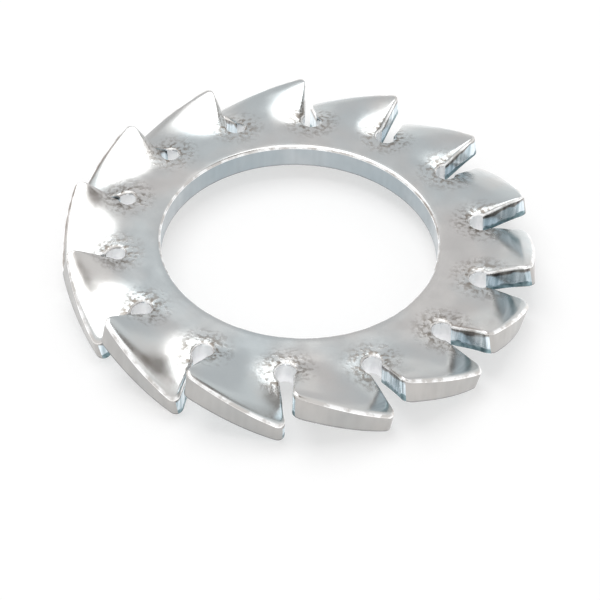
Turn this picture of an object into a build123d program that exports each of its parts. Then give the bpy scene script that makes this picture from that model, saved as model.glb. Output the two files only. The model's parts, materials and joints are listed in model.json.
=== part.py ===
"""Serrated lock washer with external teeth, for an M8 screw.

One piece of spring steel strip: a flat ring with a fan of sheared teeth round it.
Each tooth is twisted about its own radial line, so that its clockwise edge, seen
from above, stands proud of the ring and its other edge hangs below it. The rim is
cut from the flat strip, so it stays square to the twisted sheet. The slits are cut
as the teeth are twisted, so their walls are upright. Each starts at a pierced round
hole by the ring, leans a little and all but closes at the rim.
"""

import os
from math import cos, degrees, radians, tan

from build123d import *

# Driving dimensions, in millimetres and degrees
bore_diameter = 8.6
ring_width = 1.1
tooth_length = 1.9
thickness = 0.8
tooth_count = 14
tooth_twist = 26.0
corner_radius = 0.25
slit_root_width = 0.5
slit_tip_width = 0.1
slit_hole_diameter = 0.6
slit_lean = 7.0

# The share of a tooth's length over which its twist sets in
bend_share = 0.15

root_radius = bore_diameter / 2 + ring_width
blank_radius = root_radius + tooth_length
half_pitch = 180 / tooth_count
hole_distance = root_radius + slit_hole_diameter / 2

# Each tooth starts inside the ring, where its widest side meets the slit's end
lean_angle = radians(half_pitch) + tooth_length * tan(radians(slit_lean)) / root_radius
base_distance = root_radius * cos(lean_angle)

os.makedirs("parts", exist_ok=True)


def slit_edge(distance, side, spare):
    """The point at this distance out on one side of the tooth, moved out by the spare width."""
    share = (distance - root_radius) / tooth_length
    slit_width = slit_root_width + (slit_tip_width - slit_root_width) * share
    half_width = distance * tan(radians(half_pitch)) - slit_width / 2 + spare
    return distance, side * half_width - (blank_radius - distance) * tan(radians(slit_lean))


def tooth_outline(spare):
    """The tooth from above, run on past the rim, as a closed wire."""
    far_distance = 1.1 * blank_radius
    with BuildLine() as outline:
        clockwise_side = Line(slit_edge(base_distance, -1, spare), slit_edge(far_distance, -1, spare))
        other_side = Line(slit_edge(base_distance, 1, spare), slit_edge(far_distance, 1, spare))
        Line(clockwise_side @ 0, other_side @ 0)
        Line(clockwise_side @ 1, other_side @ 1)
    return outline.line


def twisted_surface():
    """The sheet's middle surface: level at the root, then twisted evenly past the rim.

    It is made wider and longer than the tooth, which is trimmed out of it.
    """
    bend_start = root_radius + bend_share * tooth_length
    middle_distance = root_radius + 0.6 * tooth_length
    far_distance = root_radius + 1.2 * tooth_length
    rows = []
    for distance in (base_distance, bend_start, middle_distance, far_distance):
        twist_share = max(0, distance - bend_start) / (blank_radius - bend_start)
        across = distance * tan(radians(2 * half_pitch))
        height = across * tan(radians(tooth_twist)) * twist_share
        rows.append([(distance, -across, height), (distance, across, -height)])
    return Face.make_bezier_surface(rows)


with BuildPart() as tooth_blank:
    with BuildSketch(Plane.XY.offset(-blank_radius)):
        add(tooth_outline(thickness / 2))
        make_face()
        Circle(blank_radius, mode=Mode.INTERSECT)
    extrude(amount=2 * blank_radius)

with BuildPart() as tooth:
    trimmed_sheet = twisted_surface().intersect(tooth_blank.part)
    thicken(trimmed_sheet, amount=thickness / 2, both=True)
    with BuildSketch(Plane.XY.offset(-blank_radius)):
        add(tooth_outline(0))
        make_face()
    extrude(amount=2 * blank_radius, mode=Mode.INTERSECT)
    upright_faces = tooth.faces().filter_by(GeomType.PLANE).sort_by(Axis.Y)
    clockwise_corner = upright_faces[0].edges().sort_by(Axis.X)[-2:]
    other_corner = upright_faces[-1].edges().sort_by(Axis.X)[-2:]
    fillet(clockwise_corner + other_corner, corner_radius)

with BuildPart() as lock_washer:
    with BuildSketch():
        Circle(hole_distance)
        Circle(bore_diameter / 2, mode=Mode.SUBTRACT)
    extrude(amount=thickness / 2, both=True)
    with PolarLocations(0, tooth_count):
        add(tooth.part)
    with BuildSketch():
        lean_offset = (blank_radius - hole_distance) * tan(radians(slit_lean))
        hole_angle = half_pitch - degrees(lean_offset / hole_distance)
        with PolarLocations(hole_distance, tooth_count, start_angle=hole_angle):
            Circle(slit_hole_diameter / 2)
    extrude(amount=thickness, both=True, mode=Mode.SUBTRACT)

lock_washer.part.label = "lock_washer"
export_step(lock_washer.part, "parts/lock_washer.step")
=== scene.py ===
# %% [markdown]
# # A toothed lock washer
#
# The washer is one piece of bright zinc plated spring steel. This lesson builds its
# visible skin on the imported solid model, gives it a plated metal finish and sets up a
# plain studio. Every length is in metres, and the washer lies in the frame of its
# solid model: the bore's centre is the origin and +Z runs up through the bore.

import json
from math import atan, atan2, cos, hypot, pi, radians, sin, sqrt, tan

import bmesh
import bpy
from mathutils import Matrix, Vector


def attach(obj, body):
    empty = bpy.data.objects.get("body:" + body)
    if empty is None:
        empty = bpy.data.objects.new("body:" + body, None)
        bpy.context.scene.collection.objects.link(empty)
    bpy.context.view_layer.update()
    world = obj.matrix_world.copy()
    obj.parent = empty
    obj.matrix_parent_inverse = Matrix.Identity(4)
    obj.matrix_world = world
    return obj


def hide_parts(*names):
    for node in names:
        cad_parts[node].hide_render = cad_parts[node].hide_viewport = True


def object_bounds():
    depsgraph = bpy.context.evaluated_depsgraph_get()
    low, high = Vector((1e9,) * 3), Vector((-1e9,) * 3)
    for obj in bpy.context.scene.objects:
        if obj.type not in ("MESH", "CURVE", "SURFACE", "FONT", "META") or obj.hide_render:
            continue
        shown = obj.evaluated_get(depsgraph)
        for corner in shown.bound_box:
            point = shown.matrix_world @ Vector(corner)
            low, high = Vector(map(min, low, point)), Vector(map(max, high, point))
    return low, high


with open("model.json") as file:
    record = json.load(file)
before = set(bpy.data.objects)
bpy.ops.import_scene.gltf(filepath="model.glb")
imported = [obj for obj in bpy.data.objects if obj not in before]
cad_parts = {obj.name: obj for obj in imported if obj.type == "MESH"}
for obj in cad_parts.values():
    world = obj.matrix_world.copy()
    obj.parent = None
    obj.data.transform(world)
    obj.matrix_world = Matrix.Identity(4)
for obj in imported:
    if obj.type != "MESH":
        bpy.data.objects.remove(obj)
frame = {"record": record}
cad_box = [list(corner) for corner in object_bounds()]
print("solid model's box", [[round(value * 1000, 3) for value in corner] for corner in cad_box])

# %% [markdown]
# ## Sizes
#
# The bore's radius and the sheet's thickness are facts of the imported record, so they
# are read from it. The other sizes are the press tool's: how far in the slits reach,
# how wide they are, how much they lean and how far the teeth are twisted. The skin's rim
# lies a hair inside the solid model's.

# %% Named sizes
mm = 0.001
bore = frame["record"]["mounts"][0]["dims"]
bore_radius = bore["r_mm"] * mm
thickness = bore["length_mm"] * mm
tooth_count = 14
half_pitch = pi / tooth_count
ring_width = 1.1 * mm
tooth_length = 1.9 * mm
root_radius = bore_radius + ring_width
skin_inset = 0.010 * mm
blank_radius = root_radius + tooth_length - skin_inset
slit_root_width = 0.50 * mm
slit_tip_width = 0.10 * mm
slit_lean = radians(7.0)
slit_hole_radius = 0.3 * mm
hole_distance = root_radius + slit_hole_radius
corner_radius = 0.25 * mm
tooth_twist = radians(24.4)
print("bore", bore_radius * 2000, "mm, flat blank", blank_radius * 2000, "mm")

# %% [markdown]
# ## One fourteenth of the flat blank
#
# The real washer starts as a flat disc with slits. One sector of it is drawn here from
# its cut edge: round half of the pierced hole at the slit's end, along the tooth's side,
# round the outer corner, along the rim and back. A punch drags the sheet's surface down
# with it, so no cut edge is sharp on top. That roll-over is what catches the light along
# every edge of a bright washer. Each line is therefore drawn at any inset from the cut,
# and the rounded edge becomes a few strips between insets. The rim is rolled over more
# than the slits are.

# %% Arcs and slit sides
rim_roll, bore_roll = 2.0, 1.4
hole_steps, side_steps, corner_steps, rim_steps = 6, 18, 4, 22
halvings = 30


def arc(centre, radius, start, end, steps):
    """Points on an arc, with its angles in radians."""
    angles = [start + (end - start) * step / steps for step in range(steps + 1)]
    return [(centre[0] + radius * cos(a), centre[1] + radius * sin(a)) for a in angles]


def slit_side(distance, side, inset=0):
    """How far across the tooth its side lies, at this distance out from the bore's axis."""
    share = (distance - root_radius) / tooth_length
    slit_width = slit_root_width + (slit_tip_width - slit_root_width) * share
    lean_offset = (blank_radius - distance) * tan(slit_lean)
    return side * (distance * tan(half_pitch) - slit_width / 2 - inset) - lean_offset


def side_slope(side):
    """The angle between the tooth's middle line and this side of it."""
    return atan((slit_side(blank_radius, side) - slit_side(root_radius, side)) / tooth_length)


for side in (-1, 1):
    print("side", side, "slopes", round(side_slope(side) * 180 / pi, 2), "degrees")

# %% The pierced hole and the tooth's outer corner
hole_shift = (blank_radius - hole_distance) * tan(slit_lean) / hole_distance


def hole_centre(side):
    """The centre of the hole at the end of the slit on this side of the tooth."""
    angle = side * half_pitch - hole_shift
    return hole_distance * cos(angle), hole_distance * sin(angle)


def hole_half(side, inset):
    """The ring's part of the hole's edge: from its point nearest the bore to its side."""
    centre = hole_centre(side)
    start = atan2(centre[1], centre[0]) + side * pi
    return arc(centre, slit_hole_radius + inset, start, side * 1.5 * pi, hole_steps)


def hole_rest(side, inset):
    """The tooth's part of the hole's edge: on from its side to where the slit leaves it."""
    centre = hole_centre(side)
    radius = slit_hole_radius + inset
    near, far = centre[0], centre[0] + radius
    for attempt in range(halvings):
        distance = (near + far) / 2
        if hypot(distance - centre[0], slit_side(distance, side, inset) - centre[1]) < radius:
            near = distance
        else:
            far = distance
    end = atan2(slit_side(near, side, inset) - centre[1], near - centre[0]) + side * 2 * pi
    return arc(centre, radius, side * 1.5 * pi, end, hole_steps // 2)


def outer_corner(side, inset):
    """The outer corner's centre and radius, and the angles where it leaves the side and meets the rim."""
    slope = side_slope(side)
    radius = corner_radius - inset
    distance = blank_radius
    for attempt in range(20):
        across = slit_side(distance, side, inset) - side * radius / cos(slope)
        distance = sqrt((blank_radius - rim_roll * inset - radius) ** 2 - across ** 2)
    return (distance, across), radius, slope + side * pi / 2, atan2(across, distance)


def tooth_side(side, inset):
    """From the pierced hole's side to the middle of the outer corner."""
    hole = hole_rest(side, inset)
    centre, radius, start, end = outer_corner(side, inset)
    corner = arc(centre, radius, start, (start + end) / 2, corner_steps)
    straight = [tuple(a + (b - a) * step / side_steps for a, b in zip(hole[-1], corner[0]))
                for step in range(side_steps)]
    return hole[:-1] + straight + corner


def rim_line(inset):
    """From the middle of one outer corner to the middle of the other."""
    centre, radius, start, rim_start = outer_corner(-1, inset)
    first_corner = arc(centre, radius, (start + rim_start) / 2, rim_start, corner_steps)
    centre, radius, start, rim_end = outer_corner(1, inset)
    rim = arc((0, 0), blank_radius - rim_roll * inset, rim_start, rim_end, rim_steps)
    last_corner = arc(centre, radius, rim_end, (start + rim_end) / 2, corner_steps)
    return first_corner + rim[1:] + last_corner[1:]


def cut_edge(inset):
    """The whole cut edge of a sector, from one slit's hole to the next."""
    there = hole_half(-1, inset) + tooth_side(-1, inset)[1:]
    back = hole_half(1, inset) + tooth_side(1, inset)[1:]
    return there + rim_line(inset)[1:] + back[-2::-1]


print("cut edge of", len(cut_edge(0)), "points")

# %% The two grids, seen from above
def between(a, b, share):
    """The point this share of the way from a to b."""
    return tuple(p + (q - p) * share for p, q in zip(a, b))


def tooth_grid(inset):
    """Rows of points across the tooth, blended from its four boundary lines."""
    left, right = tooth_side(-1, inset), tooth_side(1, inset)
    rim = rim_line(inset)
    columns = len(rim) - 1
    base = [between(left[0], right[0], column / columns) for column in range(columns + 1)]
    rows = []
    for row, (a, b) in enumerate(zip(left, right)):
        u = row / (len(left) - 1)
        points = []
        for column in range(columns + 1):
            v = column / columns
            along = between(base[column], rim[column], u)
            across = between(a, b, v)
            corners = between(between(base[0], base[-1], v), between(rim[0], rim[-1], v), u)
            points.append(tuple(p + q - c for p, q, c in zip(along, across, corners)))
        rows.append(points)
    return rows


def ring_outside(inset):
    """The outer edge of the ring's part of a sector, where the holes and the tooth begin."""
    return hole_half(-1, inset)[:-1] + tooth_grid(inset)[0] + hole_half(1, inset)[-2::-1]


plain_outside = ring_outside(0)
bore_angles = []
for column, point in enumerate(plain_outside):
    even_angle = (2 * column / (len(plain_outside) - 1) - 1) * half_pitch - hole_shift
    bore_angles.append((even_angle + atan2(point[1], point[0])) / 2)


def bore_edge(inset):
    """The bore's edge in this sector."""
    radius = bore_radius + inset
    return [(radius * cos(angle), radius * sin(angle)) for angle in bore_angles]


def ring_grid(inset, rows=10):
    """Rows of points from the bore's edge out to the holes and the tooth's base."""
    return [[between(a, b, row / rows) for a, b in zip(bore_edge(bore_roll * inset), ring_outside(inset))]
            for row in range(rows + 1)]


print("tooth", len(tooth_grid(0)), "rows of", len(tooth_grid(0)[0]))
print("ring", len(ring_grid(0)), "rows of", len(ring_grid(0)[0]))

# %% [markdown]
# ## From grids to a closed sheet
#
# The grids become the sheet's top and bottom, and strips of quads close its bore, its
# slits and its rim, round edges included. Nothing closes the two cuts between this
# sector and the next, because the copies will be joined there. Each face gets a number
# for the way it was made on the press: rolled sheet, sheared slit, blanked rim or
# pierced hole. Each point keeps how deep in the sheet it lies, for the bands that a
# punch leaves on a cut edge.
#
# The slit is torn open from its hole outwards as the tooth is twisted, so the sheet's
# surface sags most beside the hole, on the edge that is pushed up. It also falls away
# a little towards the rim and the bore, where the blank was cut from the strip.

# %% How the cuts drag the top down
half_thickness = thickness / 2
hole_sag, hole_sag_reach = 0.008 * mm, 0.35 * mm
edge_sag, edge_sag_reach = 0.13 * mm, 0.40 * mm
rim_sag, rim_sag_reach = 0.060 * mm, 0.45 * mm
bore_sag, bore_sag_reach = 0.012 * mm, 0.20 * mm


def nearness(distance, reach):
    """1 at the cut, falling to 0 at this reach from it."""
    return max(0, 1 - max(0, distance) / reach)


def to_nearest_hole(point):
    """How far this point is from the nearer hole's centre."""
    return min(hypot(point[0] - x, point[1] - y) for x, y in (hole_centre(-1), hole_centre(1)))


def sag(point):
    """How far the sheet's top is dragged down here."""
    from_axis = hypot(point[0], point[1])
    by_hole = nearness(to_nearest_hole(point) - slit_hole_radius, hole_sag_reach)
    by_rim = nearness(blank_radius - from_axis, rim_sag_reach)
    by_bore = nearness(from_axis - bore_radius, bore_sag_reach)
    along = (point[0] - root_radius) / tooth_length
    fade_in = min(1, max(0, (point[0] - root_radius) / (2 * slit_hole_radius)))
    by_edge = nearness(point[1] - slit_side(point[0], -1), edge_sag_reach * max(0.15, 1 - along))
    return (hole_sag * by_hole ** 2 + rim_sag * by_rim ** 2 + bore_sag * by_bore ** 2
            + edge_sag * by_edge ** 2 * fade_in * max(0, 1 - along))


print("sag by the hole", round(sag(hole_centre(1)) * 1000, 3), "mm")

# %% The sector's mesh
rolled_face, sheared_face, blanked_face, pierced_face = 0, 1, 2, 3
sector = bmesh.new()
surface_kind = sector.faces.layers.int.new("surface_kind")
sheet_depth = sector.verts.layers.float.new("sheet_depth")
root_nearness = sector.verts.layers.float.new("root_nearness")


def add_point(point, height):
    """One corner of the mesh, at this height above the sheet's middle."""
    depth = height / half_thickness
    vertex = sector.verts.new((point[0], point[1], height - sag(point) * max(0, depth)))
    vertex[sheet_depth] = depth
    vertex[root_nearness] = nearness(to_nearest_hole(point), 1.3 * mm)
    return vertex


def add_strip(first, second, kinds):
    """Quads between two rows of vertices."""
    for a, b, c, d, kind in zip(first, first[1:], second[1:], second, kinds):
        sector.faces.new((a, b, c, d))[surface_kind] = kind


def rounded_edge(radius, steps):
    """Pairs of inset and height, from the sheet's surface down to the upright wall."""
    angles = [pi / 2 * (1 - step / steps) for step in range(steps + 1)]
    return [(radius * (1 - cos(a)), half_thickness - radius * (1 - sin(a))) for a in angles]


top_round = rounded_edge(0.08 * mm, 5)
underside_round = [(inset, -height) for inset, height in reversed(rounded_edge(0.03 * mm, 2))]
wall_steps = 6
wall_top, wall_foot = top_round[-1][1], underside_round[0][1]
wall = [(0, wall_top + (wall_foot - wall_top) * step / wall_steps) for step in range(1, wall_steps)]
edge_profile = top_round + wall + underside_round

for inset, height in (edge_profile[0], edge_profile[-1]):
    for grid in (ring_grid(inset), tooth_grid(inset)):
        levels = [[add_point(point, height) for point in row] for row in grid]
        for lower, upper in zip(levels, levels[1:]):
            add_strip(lower, upper, [rolled_face] * len(lower))

side_kinds = [pierced_face] * (hole_steps + hole_steps // 2) + [sheared_face] * (side_steps + corner_steps)
cut_kinds = side_kinds + [blanked_face] * (rim_steps + 2 * corner_steps) + side_kinds[::-1]
bore_kinds = [blanked_face] * len(bore_angles)
cut_levels = [[add_point(point, height) for point in cut_edge(inset)] for inset, height in edge_profile]
bore_levels = [[add_point(point, height) for point in bore_edge(bore_roll * inset)]
               for inset, height in edge_profile]
for levels, wall_kinds in ((cut_levels, cut_kinds), (bore_levels, bore_kinds)):
    for step, (upper, lower) in enumerate(zip(levels, levels[1:])):
        is_wall = len(top_round) - 1 <= step < len(edge_profile) - len(underside_round)
        add_strip(upper, lower, wall_kinds if is_wall else [rolled_face] * len(upper))

same_point = 0.0001 * mm
bmesh.ops.remove_doubles(sector, verts=sector.verts, dist=same_point)
bmesh.ops.recalc_face_normals(sector, faces=sector.faces)
sector_mesh = bpy.data.meshes.new("washer_sector")
sector.to_mesh(sector_mesh)
sector.free()
washer = bpy.data.objects.new("lock_washer_skin", sector_mesh)
bpy.context.collection.objects.link(washer)
print("sector:", len(sector_mesh.vertices), "vertices,", len(sector_mesh.polygons), "faces")

# %% [markdown]
# ## The plated finish
#
# Bright zinc is a satin mirror with faint waves, tiny pits and a trace of blue and
# straw from the chromate rinse. Round each pierced hole it is rougher, and its colour is
# darkened there in mottled patches, which are painted shade. The rounded edges carry a
# painted highlight: their colour is painted near white. All patterns read Object
# coordinates, so they stay with the steel.

# %% Helpers for node trees
def link_chain(tree, *sockets):
    """Links sockets in pairs, from, to, from, to."""
    for source, target in zip(sockets[::2], sockets[1::2]):
        tree.links.new(source, target)


def new_material(name, roughness):
    """A metal material, with its node tree, shader and Object coordinates."""
    material = bpy.data.materials.new(name)
    material.use_nodes = True
    tree = material.node_tree
    shader = tree.nodes["Principled BSDF"]
    shader.inputs["Metallic"].default_value = 1.0
    shader.inputs["Roughness"].default_value = roughness
    place = tree.nodes.new("ShaderNodeTexCoord").outputs["Object"]
    return material, tree, shader, place


def noise(tree, place, scale, detail=3.0, stretch=(1, 1, 1)):
    """Noise with this many features to a metre, squeezed along an axis by a larger stretch value."""
    mapping = tree.nodes.new("ShaderNodeMapping")
    mapping.inputs["Scale"].default_value = stretch
    texture = tree.nodes.new("ShaderNodeTexNoise")
    texture.inputs["Scale"].default_value = scale
    texture.inputs["Detail"].default_value = detail
    link_chain(tree, place, mapping.inputs["Vector"], mapping.outputs[0], texture.inputs["Vector"])
    return texture.outputs["Fac"]


def ramp(tree, factor, low, high, first, last):
    """The value or colour that runs from first to last while the factor runs from low to high."""
    is_colour = isinstance(first, tuple)
    node = tree.nodes.new("ShaderNodeMix" if is_colour else "ShaderNodeMapRange")
    if not is_colour:
        for name, value in zip(("From Min", "From Max", "To Min", "To Max"), (low, high, first, last)):
            node.inputs[name].default_value = value
        tree.links.new(factor, node.inputs["Value"])
        return node.outputs["Result"]
    node.data_type = "RGBA"
    node.inputs["A"].default_value = (*first, 1)
    node.inputs["B"].default_value = (*last, 1)
    tree.links.new(ramp(tree, factor, low, high, 0.0, 1.0), node.inputs["Factor"])
    return node.outputs["Result"]


def mix_colour(tree, factor, first, second, blend="MIX"):
    """Mixes two colour sockets by a factor socket or number."""
    node = tree.nodes.new("ShaderNodeMix")
    node.data_type = "RGBA"
    node.blend_type = blend
    link_chain(tree, first, node.inputs["A"], second, node.inputs["B"])
    if isinstance(factor, float):
        node.inputs["Factor"].default_value = factor
    else:
        tree.links.new(factor, node.inputs["Factor"])
    return node.outputs["Result"]


def calculate(tree, operation, first, second):
    """A Math node on sockets or numbers."""
    node = tree.nodes.new("ShaderNodeMath")
    node.operation = operation
    for socket, value in zip(node.inputs, (first, second)):
        if isinstance(value, (int, float)):
            socket.default_value = value
        else:
            tree.links.new(value, socket)
    return node.outputs[0]


def add_bump(tree, shader, height, depth, normal=None):
    """Bumps of this depth in metres."""
    node = tree.nodes.new("ShaderNodeBump")
    node.inputs["Strength"].default_value = 1.0
    node.inputs["Distance"].default_value = depth
    tree.links.new(height, node.inputs["Height"])
    if normal:
        tree.links.new(normal, node.inputs["Normal"])
    tree.links.new(node.outputs["Normal"], shader.inputs["Normal"])
    return node.outputs["Normal"]


def attribute(tree, name):
    """The value that the mesh keeps under this name."""
    node = tree.nodes.new("ShaderNodeAttribute")
    node.attribute_name = name
    return node.outputs["Fac"]


print("material helpers ready")

# %% Rolled and plated sheet
plated, tree, shader, place = new_material("bright_zinc_sheet", 0.20)
waves = noise(tree, place, 500)
tint = ramp(tree, noise(tree, place, 330), 0.38, 0.62, (0.48, 0.54, 0.56), (0.595, 0.57, 0.55))
grey = ramp(tree, waves, 0.3, 0.7, (0.53, 0.54, 0.54), (0.61, 0.61, 0.60))
colour = mix_colour(tree, 0.6, grey, tint)
# Painted shade: mottled patches round each pierced hole darken the colour; the same patches also add
# roughness and small bumps.
hole_mottle = ramp(tree, noise(tree, place, 7000, 2.0), 0.44, 0.62, 0.0, 1.0)
near_root = ramp(tree, attribute(tree, "root_nearness"), 0.22, 0.68, 0.0, 1.0)
mark = calculate(tree, "MULTIPLY", hole_mottle, near_root)
painted_shade_colour = ramp(tree, waves, 0.3, 0.7, (0.12, 0.105, 0.09), (0.28, 0.255, 0.23))
marked = mix_colour(tree, mark, colour, painted_shade_colour)
# Painted highlight: the rounded edges' colour is painted near white, so a bright line runs along every edge.
painted_edge_shine_colour = ramp(tree, noise(tree, place, 2600), 0.42, 0.58, (0.62, 0.60, 0.58), (0.97, 0.97, 0.97))
from_middle = calculate(tree, "ABSOLUTE", attribute(tree, "sheet_depth"), 0.0)
painted_edge_shine = ramp(tree, from_middle, 0.955, 0.99, 1.0, 0.0)
link_chain(tree, mix_colour(tree, painted_edge_shine, marked, painted_edge_shine_colour), shader.inputs["Base Color"])
roughness = ramp(tree, noise(tree, place, 1500), 0.3, 0.7, 0.17, 0.27)
rough_mark = calculate(tree, "MULTIPLY", mark, 0.15)
link_chain(tree, calculate(tree, "ADD", roughness, rough_mark), shader.inputs["Roughness"])
soft_waves = add_bump(tree, shader, noise(tree, place, 900, 1.0), 0.009 * mm)
fine_waves = add_bump(tree, shader, noise(tree, place, 3200, 2.0), 0.0022 * mm, soft_waves)
mark_bump = add_bump(tree, shader, mark, 0.003 * mm, fine_waves)
add_bump(tree, shader, noise(tree, place, 14000), 0.0005 * mm, mark_bump)
print("plated sheet material made")

# %% [markdown]
# A punch that cuts thick sheet leaves bands on the wall. At the top is the dark start of
# the cut, then a burnished band where the punch slid past, with fine scratches along its
# stroke, and below a broken one, where the steel tore off. All are plated, so they stay
# metal. The ragged borders between the bands are the depth in the sheet with some noise.

# %% Sheared slit walls
sheared, tree, shader, place = new_material("sheared_zinc_edge", 0.2)
ragged = ramp(tree, noise(tree, place, 2400, 4.0), 0.25, 0.75, -0.28, 0.28)
cut_depth = calculate(tree, "ADD", attribute(tree, "sheet_depth"), ragged)
scratches = noise(tree, place, 8000, 3.0, (1, 1, 0.05))
start_of_cut = ramp(tree, cut_depth, 0.42, 0.62, 0.0, 1.0)
broken = ramp(tree, cut_depth, -0.62, -0.48, 1.0, 0.0)
burnished_colour = ramp(tree, scratches, 0.35, 0.65, (0.38, 0.46, 0.50), (0.74, 0.81, 0.86))
start_colour = ramp(tree, scratches, 0.35, 0.65, (0.10, 0.09, 0.09), (0.34, 0.33, 0.31))
grain = noise(tree, place, 5200, 4.0)
broken_colour = ramp(tree, grain, 0.35, 0.65, (0.10, 0.16, 0.18), (0.28, 0.38, 0.41))
colour = mix_colour(tree, start_of_cut, burnished_colour, start_colour)
link_chain(tree, mix_colour(tree, broken, colour, broken_colour), shader.inputs["Base Color"])
link_chain(tree, ramp(tree, broken, 0.0, 1.0, 0.24, 0.42), shader.inputs["Roughness"])
scratch_bump = add_bump(tree, shader, scratches, 0.004 * mm)
pits = calculate(tree, "MULTIPLY", noise(tree, place, 6500, 4.0), broken)
add_bump(tree, shader, pits, 0.02 * mm, scratch_bump)
print("sheared edge material made")

# %% Blanked rim and bore
blanked, tree, shader, place = new_material("blanked_zinc_edge", 0.36)
depth_in_sheet = attribute(tree, "sheet_depth")
stroke = noise(tree, place, 5000, 3.0, (1, 1, 0.12))
cloud = noise(tree, place, 420)
rim_colour = ramp(tree, cloud, 0.35, 0.65, (0.365, 0.365, 0.36), (0.445, 0.43, 0.415))
bore_colour = ramp(tree, cloud, 0.35, 0.65, (0.33, 0.375, 0.40), (0.42, 0.445, 0.46))
from_axis = tree.nodes.new("ShaderNodeVectorMath")
from_axis.operation = "LENGTH"
tree.links.new(place, from_axis.inputs[0])
on_rim = ramp(tree, from_axis.outputs["Value"], 1.1 * bore_radius, 0.9 * blank_radius, 0.0, 1.0)
grey = mix_colour(tree, on_rim, bore_colour, rim_colour)
shade = ramp(tree, stroke, 0.3, 0.7, (0.92, 0.92, 0.92), (1.0, 1.0, 1.0))
dark_foot = ramp(tree, stroke, 0.0, 1.0, (0.12, 0.12, 0.13), (0.24, 0.24, 0.25))
foot = ramp(tree, depth_in_sheet, -0.94, -0.80, 1.0, 0.0)
banded = mix_colour(tree, 1.0, grey, shade, "MULTIPLY")
link_chain(tree, mix_colour(tree, foot, banded, dark_foot), shader.inputs["Base Color"])
link_chain(tree, ramp(tree, noise(tree, place, 1800), 0.3, 0.7, 0.30, 0.44), shader.inputs["Roughness"])
add_bump(tree, shader, stroke, 0.003 * mm)
print("blanked edge material made")

# %% Pierced holes
pierced, tree, shader, place = new_material("pierced_zinc_hole", 0.28)
# Painted highlight: the hole's wall is painted near white, brightest in its upper part, so each slit ends in
# a bright patch.
speck = ramp(tree, noise(tree, place, 3600), 0.3, 0.7, -0.2, 0.2)
hole_depth = calculate(tree, "ADD", attribute(tree, "sheet_depth"), speck)
bright_part = ramp(tree, hole_depth, -0.30, -0.10, 0.0, 1.0)
painted_highlight_colour = ramp(tree, speck, -0.2, 0.2, (0.93, 0.94, 0.95), (0.97, 0.97, 0.97))
torn_colour = ramp(tree, speck, -0.2, 0.2, (0.80, 0.80, 0.82), (0.90, 0.90, 0.91))
link_chain(tree, mix_colour(tree, bright_part, torn_colour, painted_highlight_colour), shader.inputs["Base Color"])
link_chain(tree, ramp(tree, bright_part, 0.0, 1.0, 0.42, 0.60), shader.inputs["Roughness"])
add_bump(tree, shader, noise(tree, place, 7000, 3.0, (1, 1, 0.1)), 0.003 * mm)
print("pierced hole material made")

# %% [markdown]
# ## Fourteen twisted teeth
#
# A press shears and twists every tooth in one stroke, so the washer follows one rule,
# which suits Geometry Nodes. The tree lays fourteen copies of the flat sector on top of
# each other, twists each about its middle line, turns each to its place and welds the
# seams. The twist sets in quickly at the slit's end and eases off towards the rim, so
# that the tooth beyond its root is nearly a flat blade. Top and underside stay a sheet's
# thickness apart, measured square to the twisted sheet, and the rim leans with it, while
# the slits' walls stay upright, as the real ones do.

# %% The tree, its inputs and arithmetic on sockets
fan = bpy.data.node_groups.new("tooth_fan", "GeometryNodeTree")
fan.interface.new_socket("Geometry", in_out="OUTPUT", socket_type="NodeSocketGeometry")
fan.interface.new_socket("Geometry", in_out="INPUT", socket_type="NodeSocketGeometry")
fan_sizes = {
    "Tooth Count": ("NodeSocketInt", tooth_count),
    "Twist": ("NodeSocketFloat", tan(tooth_twist)),
    "Twist Start": ("NodeSocketFloat", root_radius * cos(half_pitch)),
    "Twist Softness": ("NodeSocketFloat", 0.35),
    "Blank Radius": ("NodeSocketFloat", blank_radius),
    "Uneven Twist": ("NodeSocketFloat", 0.05),
    "Seed": ("NodeSocketInt", 7),
}
fan_sockets = {name: fan.interface.new_socket(name, in_out="INPUT", socket_type=kind)
               for name, (kind, value) in fan_sizes.items()}
fan_in = fan.nodes.new("NodeGroupInput").outputs
fan_out = fan.nodes.new("NodeGroupOutput")


def sum_of(*terms):
    """Adds sockets or numbers."""
    total = terms[0]
    for term in terms[1:]:
        total = calculate(fan, "ADD", total, term)
    return total


def product_of(*factors):
    """Multiplies sockets or numbers."""
    total = factors[0]
    for factor in factors[1:]:
        total = calculate(fan, "MULTIPLY", total, factor)
    return total


def quotient(top, bottom):
    """Divides one socket or number by another."""
    return calculate(fan, "DIVIDE", top, bottom)


def difference(first, second):
    """Takes the second socket or number from the first."""
    return calculate(fan, "SUBTRACT", first, second)


def position_parts():
    """The x, y and z of each point as it lies now."""
    split = fan.nodes.new("ShaderNodeSeparateXYZ")
    fan.links.new(fan.nodes.new("GeometryNodeInputPosition").outputs[0], split.inputs[0])
    return split.outputs


def join_parts(x, y, z):
    """A vector of three sockets or numbers."""
    node = fan.nodes.new("ShaderNodeCombineXYZ")
    for socket, value in zip(node.inputs, (x, y, z)):
        if isinstance(value, (int, float)):
            socket.default_value = value
        else:
            fan.links.new(value, socket)
    return node.outputs[0]


def set_position(geometry, position):
    """Moves the points to this position."""
    node = fan.nodes.new("GeometryNodeSetPosition")
    link_chain(fan, geometry, node.inputs["Geometry"], position, node.inputs["Position"])
    return node.outputs["Geometry"]


print("tree inputs:", ", ".join(fan_sizes))

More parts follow.
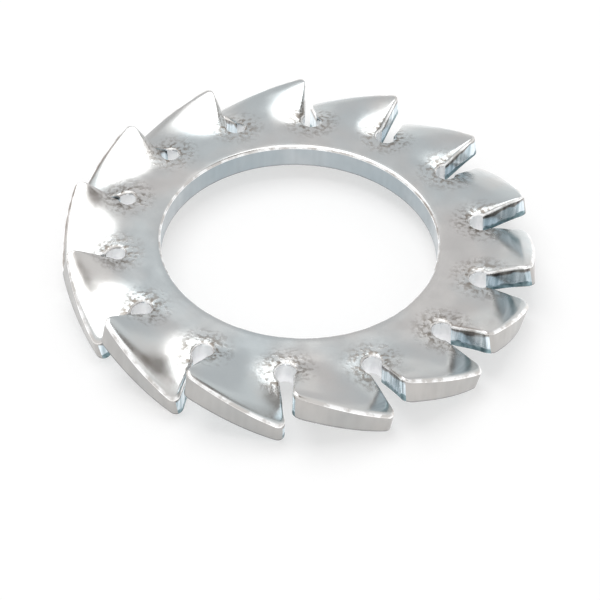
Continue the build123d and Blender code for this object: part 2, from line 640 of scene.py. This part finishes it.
# %% Fourteen copies that know their number
points = fan.nodes.new("GeometryNodePoints")
fan.links.new(fan_in["Tooth Count"], points.inputs["Count"])
number = fan.nodes.new("GeometryNodeStoreNamedAttribute")
number.data_type = "INT"
number.domain = "POINT"
number.inputs["Name"].default_value = "tooth_number"
link_chain(fan, points.outputs[0], number.inputs["Geometry"],
           fan.nodes.new("GeometryNodeInputIndex").outputs[0], number.inputs["Value"])
copies = fan.nodes.new("GeometryNodeInstanceOnPoints")
link_chain(fan, number.outputs[0], copies.inputs["Points"], fan_in["Geometry"], copies.inputs["Instance"])
flat_copies = fan.nodes.new("GeometryNodeRealizeInstances")
fan.links.new(copies.outputs[0], flat_copies.inputs["Geometry"])
tooth_number = fan.nodes.new("GeometryNodeInputNamedAttribute")
tooth_number.data_type = "INT"
tooth_number.inputs["Name"].default_value = "tooth_number"
spread = fan.nodes.new("FunctionNodeRandomValue")
spread.inputs["Min"].default_value = -1
spread.inputs["Max"].default_value = 0
link_chain(fan, tooth_number.outputs[0], spread.inputs["ID"], fan_in["Seed"], spread.inputs["Seed"])
uneven = sum_of(product_of(spread.outputs["Value"], fan_in["Uneven Twist"]), 1.0)
twist = product_of(fan_in["Twist"], uneven)
print("copies:", tooth_count)

# %% The twisted sheet's height and slopes
def sheet_rule(x, y):
    """How far along the twist a point lies, the middle surface's height there, and its two slopes."""
    run = difference(fan_in["Blank Radius"], fan_in["Twist Start"])
    share = calculate(fan, "MAXIMUM", quotient(difference(x, fan_in["Twist Start"]), run), 0.0)
    soft = fan_in["Twist Softness"]
    scale = sum_of(soft, 1.0)
    squared = product_of(share, share)
    softened = sum_of(squared, soft)
    rise = quotient(product_of(squared, scale), softened)
    steepness = quotient(product_of(share, soft, scale, 2.0), product_of(softened, softened))
    height = product_of(y, twist, rise, -1.0)
    slope_out = quotient(product_of(y, twist, steepness, -1.0), run)
    slope_across = product_of(twist, rise, -1.0)
    return share, height, slope_out, slope_across


def stretch_of(slope_out, slope_across):
    """How much longer an upright cut through a sloping sheet is than the sheet is thick."""
    return calculate(fan, "SQRT", sum_of(1.0, product_of(slope_out, slope_out),
                                         product_of(slope_across, slope_across)), 0.0)


print("sheet rule ready")

# %% Lean the rim, twist, turn and weld
x, y, z = position_parts()
share, height, slope_out, slope_across = sheet_rule(x, y)
downhill = sum_of(product_of(slope_out, x), product_of(slope_across, y))
radius = calculate(fan, "SQRT", sum_of(product_of(x, x), product_of(y, y)), 0.0)
stretch = stretch_of(slope_out, slope_across)
lean = quotient(product_of(downhill, z, share, -1.0), product_of(radius, radius, stretch))
outwards = sum_of(lean, 1.0)
leaned = set_position(flat_copies.outputs[0], join_parts(product_of(x, outwards), product_of(y, outwards), z))

x, y, z = position_parts()
share, height, slope_out, slope_across = sheet_rule(x, y)
upright_depth = product_of(z, stretch_of(slope_out, slope_across))
twisted = set_position(leaned, join_parts(x, y, sum_of(height, upright_depth)))

turn = fan.nodes.new("ShaderNodeVectorRotate")
turn.rotation_type = "Z_AXIS"
pitch = quotient(2 * pi, fan_in["Tooth Count"])
link_chain(fan, fan.nodes.new("GeometryNodeInputPosition").outputs[0], turn.inputs["Vector"],
           product_of(tooth_number.outputs[0], pitch), turn.inputs["Angle"])
turned = set_position(twisted, turn.outputs[0])

weld = fan.nodes.new("GeometryNodeMergeByDistance")
seam_gap = 0.005 * mm
weld.inputs["Distance"].default_value = seam_gap
smooth = fan.nodes.new("GeometryNodeSetShadeSmooth")
realise = fan.nodes.new("GeometryNodeRealizeInstances")
link_chain(fan, turned, weld.inputs["Geometry"], weld.outputs[0], smooth.inputs["Geometry"],
           smooth.outputs[0], realise.inputs["Geometry"])

finished = realise.outputs[0]
kind_of_face = fan.nodes.new("GeometryNodeInputNamedAttribute")
kind_of_face.data_type = "INT"
kind_of_face.inputs["Name"].default_value = "surface_kind"
face_materials = [plated, sheared, blanked, pierced]
for kind, material in enumerate(face_materials):
    chosen = fan.nodes.new("FunctionNodeCompare")
    chosen.data_type = "INT"
    chosen.operation = "EQUAL"
    whole_numbers = [socket for socket in chosen.inputs if socket.type == "INT"]
    whole_numbers[1].default_value = kind
    paint = fan.nodes.new("GeometryNodeSetMaterial")
    paint.inputs["Material"].default_value = material
    link_chain(fan, kind_of_face.outputs[0], whole_numbers[0], chosen.outputs[0], paint.inputs["Selection"],
               finished, paint.inputs["Geometry"])
    finished = paint.outputs[0]
fan.links.new(finished, fan_out.inputs[0])
print("tree has", len(fan.nodes), "nodes")

# %% The tree's result as a plain mesh
sector_mesh.materials.append(plated)
press = washer.modifiers.new("tooth_fan", "NODES")
press.node_group = fan
for name, (kind, value) in fan_sizes.items():
    press[fan_sockets[name].identifier] = value
dressed_mesh = bpy.data.meshes.new_from_object(washer.evaluated_get(bpy.context.evaluated_depsgraph_get()))
washer.modifiers.clear()
washer.data = dressed_mesh
dressed_mesh.name = "lock_washer_skin"

shell = bmesh.new()
shell.from_mesh(dressed_mesh)
bmesh.ops.recalc_face_normals(shell, faces=shell.faces)
open_edges = sum(not edge.is_manifold for edge in shell.edges)
print("volume", round(shell.calc_volume() * 1e9, 2), "mm3, open edges", open_edges)
shell.to_mesh(dressed_mesh)
shell.free()

# %% [markdown]
# ## Smooth shading
#
# The rounded edges are narrow strips beside large faces. Weighted normals lean on the
# large faces, so the flat sheet reflects as a flat mirror right up to its rounded edges.
# Corners of more than 50 degrees, where a slit's wall meets its hole, stay sharp.

# %% Sharp corners and weighted normals
dressed_mesh.set_sharp_from_angle(angle=radians(50))
flatten = washer.modifiers.new("flatten", "WEIGHTED_NORMAL")
flatten.keep_sharp = True
print("faces", len(dressed_mesh.polygons))

# %% The skin takes the solid model's place
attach(washer, "root")
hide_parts("lock_washer")
print("materials", [material.name for material in dressed_mesh.materials])

# %% [markdown]
# ## The studio
#
# The floor is pale and almost white to the camera and in the washer's mirror faces, and
# it keeps a faint shadow. Bright metal looks like whatever stands round it, so three
# cards that the camera doesn't see give it something to reflect: a grey one beyond the
# washer, a brown one to the left and a dark one above it, beside an oval softbox.

# %% Floor
floor_height = cad_box[0][2]
half_width = 0.6
floor_mesh = bpy.data.meshes.new("floor")
signs = ((-1, -1), (1, -1), (1, 1), (-1, 1))
floor_corners = [(x * half_width, y * half_width, floor_height) for x, y in signs]
floor_mesh.from_pydata(floor_corners, [], [(0, 1, 2, 3)])
floor = bpy.data.objects.new("floor", floor_mesh)
bpy.context.collection.objects.link(floor)
floor_material = bpy.data.materials.new("pale_floor")
floor_material.use_nodes = True
tree = floor_material.node_tree
shader = tree.nodes["Principled BSDF"]
shader.inputs["Base Color"].default_value = (0.60, 0.60, 0.60, 1)
shader.inputs["Roughness"].default_value = 0.9
shader.inputs["Specular IOR Level"].default_value = 0.0
shader.inputs["Emission Color"].default_value = (1, 1, 1, 1)
path = tree.nodes.new("ShaderNodeLightPath").outputs
seen = calculate(tree, "MAXIMUM", path["Is Camera Ray"], path["Is Transmission Ray"])
glow_to_camera, glow_to_metal = 0.46, 0.80
plain_glow = calculate(tree, "MULTIPLY", seen, glow_to_camera)
glow_in_metal = calculate(tree, "MULTIPLY", path["Is Glossy Ray"], glow_to_metal)
link_chain(tree, calculate(tree, "ADD", plain_glow, glow_in_metal), shader.inputs["Emission Strength"])
floor_mesh.materials.append(floor_material)
print("floor at", round(floor_height * 1000, 3), "mm")

# %% World
world = bpy.data.worlds.new("studio")
bpy.context.scene.world = world
world.use_nodes = True
tree = world.node_tree
background = tree.nodes["Background"]
background.inputs["Color"].default_value = (1, 1, 1, 1)
path = tree.nodes.new("ShaderNodeLightPath").outputs
seen = calculate(tree, "MAXIMUM", calculate(tree, "MAXIMUM", path["Is Camera Ray"], path["Is Glossy Ray"]),
                 path["Is Transmission Ray"])
soft_light, extra_when_seen = 0.6, 0.4
strength = calculate(tree, "ADD", calculate(tree, "MULTIPLY", seen, extra_when_seen), soft_light)
link_chain(tree, strength, background.inputs["Strength"])
print("world made")

# %% Cards and lamps
def face_towards(target, place):
    """The turn that makes an object at this place look at the target."""
    return (Vector(target) - Vector(place)).to_track_quat("-Z", "Y").to_euler()


def add_card(name, place, width, height, colour):
    """A stage card that faces the washer, and shows only in reflections."""
    mesh = bpy.data.meshes.new(name)
    corners = [(-width / 2, -height / 2, 0), (width / 2, -height / 2, 0),
               (width / 2, height / 2, 0), (-width / 2, height / 2, 0)]
    mesh.from_pydata(corners, [], [(0, 1, 2, 3)])
    card = bpy.data.objects.new(name, mesh)
    bpy.context.collection.objects.link(card)
    card.location = place
    card.rotation_euler = face_towards((0, 0, 0), place)
    material = bpy.data.materials.new(name)
    material.use_nodes = True
    tree = material.node_tree
    tree.nodes.remove(tree.nodes["Principled BSDF"])
    glow = tree.nodes.new("ShaderNodeEmission")
    glow.inputs["Color"].default_value = (*colour, 1)
    tree.links.new(glow.outputs[0], tree.nodes["Material Output"].inputs["Surface"])
    mesh.materials.append(material)
    card.visible_camera = False
    card.visible_diffuse = False
    card.visible_shadow = False


def add_lamp(name, place, width, height, power):
    """An oval soft lamp that points at the washer."""
    data = bpy.data.lights.new(name, "AREA")
    data.shape = "ELLIPSE"
    data.size = width
    data.size_y = height
    data.energy = power
    lamp = bpy.data.objects.new(name, data)
    bpy.context.collection.objects.link(lamp)
    lamp.location = place
    lamp.rotation_euler = face_towards((0, 0, 0), place)


add_card("far_grey_card", (0.0, 0.168, 0.109), width=0.30, height=0.122, colour=(0.80, 0.80, 0.81))
add_card("left_brown_card", (-0.144, 0.076, 0.068), width=0.10, height=0.09, colour=(0.50, 0.45, 0.42))
add_card("overhead_dark_card", (0.054, 0.009, 0.139), width=0.075, height=0.052, colour=(0.22, 0.19, 0.17))
add_lamp("overhead_softbox", (-0.040, 0.040, 0.192), width=0.192, height=0.192, power=0.175)
print("cards and lamps placed")

# %% [markdown]
# ## The camera
#
# The camera looks down at the washer from the near side, about 43 degrees above the
# table, from about six centimetres away, and is rolled a little.

# %% Camera
elevation = radians(43.13)
roll = radians(2.35)
camera_distance = 61.08 * mm
back = Vector((0, -cos(elevation), sin(elevation)))
level_right = Vector((1, 0, 0))
level_up = Vector((0, sin(elevation), cos(elevation)))
right = level_right * cos(roll) + level_up * sin(roll)
up = level_up * cos(roll) - level_right * sin(roll)
camera_data = bpy.data.cameras.new("camera")
camera_data.lens = 117.9
camera_data.shift_x = 0.0014
camera_data.shift_y = -0.0895
camera_data.clip_start = 0.001
camera = bpy.data.objects.new("camera", camera_data)
bpy.context.collection.objects.link(camera)
turned_axes = Matrix((right, up, back)).transposed()
level_pose = Matrix.Translation(back * camera_distance) @ turned_axes.to_4x4()
camera.matrix_world = Matrix.Rotation(radians(0.4), 4, "Z") @ level_pose
bpy.context.scene.camera = camera
bpy.context.scene.view_settings.view_transform = "Standard"
print("camera at", [round(value * 1000, 2) for value in camera.location])
